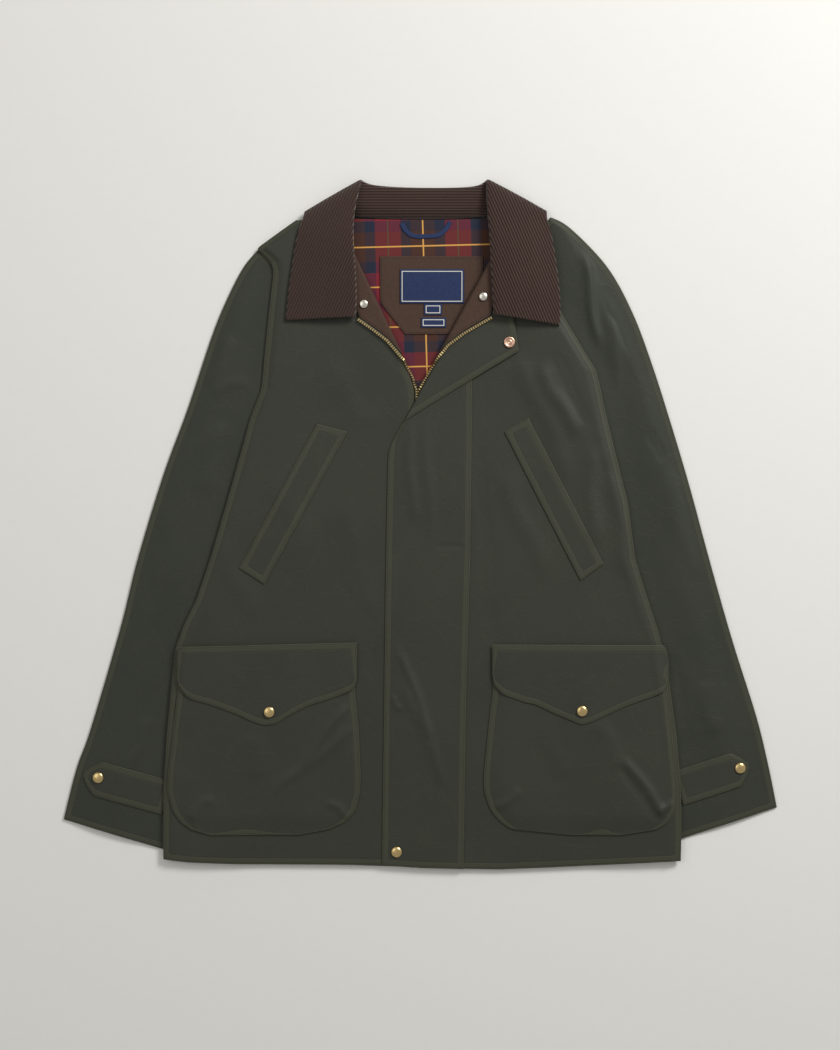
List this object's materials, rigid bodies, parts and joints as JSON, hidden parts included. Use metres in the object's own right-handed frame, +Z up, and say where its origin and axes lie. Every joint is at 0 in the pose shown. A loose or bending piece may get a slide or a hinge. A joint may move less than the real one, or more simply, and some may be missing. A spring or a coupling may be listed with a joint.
{
  "type": "waxed cotton jacket",
  "caption": "Waxed cotton jacket laid flat, front up: corduroy collar, turned-out fronts, storm flap over a zip, flapped hip pockets, raglan sleeves with cuff tabs.",
  "frame": {"origin": "on the floor, under the middle of the jacket's outline", "axes": "+Z up from the floor, +Y from hem to collar, +X towards the wearer's left sleeve"},
  "size_m": [0.855, 0.8274, 0.0243],
  "materials": {
    "waxed_cotton": "matt",
    "waxed_cotton_sleeve": "matt",
    "corduroy": "matt",
    "facing_cotton": "matt",
    "check_lining": "matt",
    "navy_woven": "matt",
    "brass": "satin",
    "silver_metal": "satin",
    "copper_metal": "satin"
  },
  "bodies": {
    "root": {"back_lining": "check_lining", "back_panel": "waxed_cotton", "collar_top": "corduroy", "collar_under": "waxed_cotton", "cuff_tab_left": "waxed_cotton", "cuff_tab_right": "waxed_cotton", "facing_left": "facing_cotton", "facing_right": "facing_cotton", "front_left": "waxed_cotton", "front_right": "waxed_cotton", "hanger_loop": "navy_woven", "label_main": "navy_woven", "label_origin": "navy_woven", "label_patch": "facing_cotton", "label_size": "navy_woven", "pocket_flap_left": "waxed_cotton", "pocket_flap_right": "waxed_cotton", "pocket_left": "waxed_cotton", "pocket_right": "waxed_cotton", "sleeve_left_back": "waxed_cotton_sleeve", "sleeve_left_front": "waxed_cotton_sleeve", "sleeve_right_back": "waxed_cotton_sleeve", "sleeve_right_front": "waxed_cotton_sleeve", "snap_cuff_left": "brass", "snap_cuff_right": "brass", "snap_facing_left": "silver_metal", "snap_facing_right": "silver_metal", "snap_pocket_left": "brass", "snap_pocket_right": "brass", "snap_storm_flap": "brass", "socket_storm_flap": "copper_metal", "storm_flap": "waxed_cotton", "welt_left": "waxed_cotton", "welt_right": "waxed_cotton", "zip_left": "brass", "zip_right": "brass"}
  },
  "joints": []
}
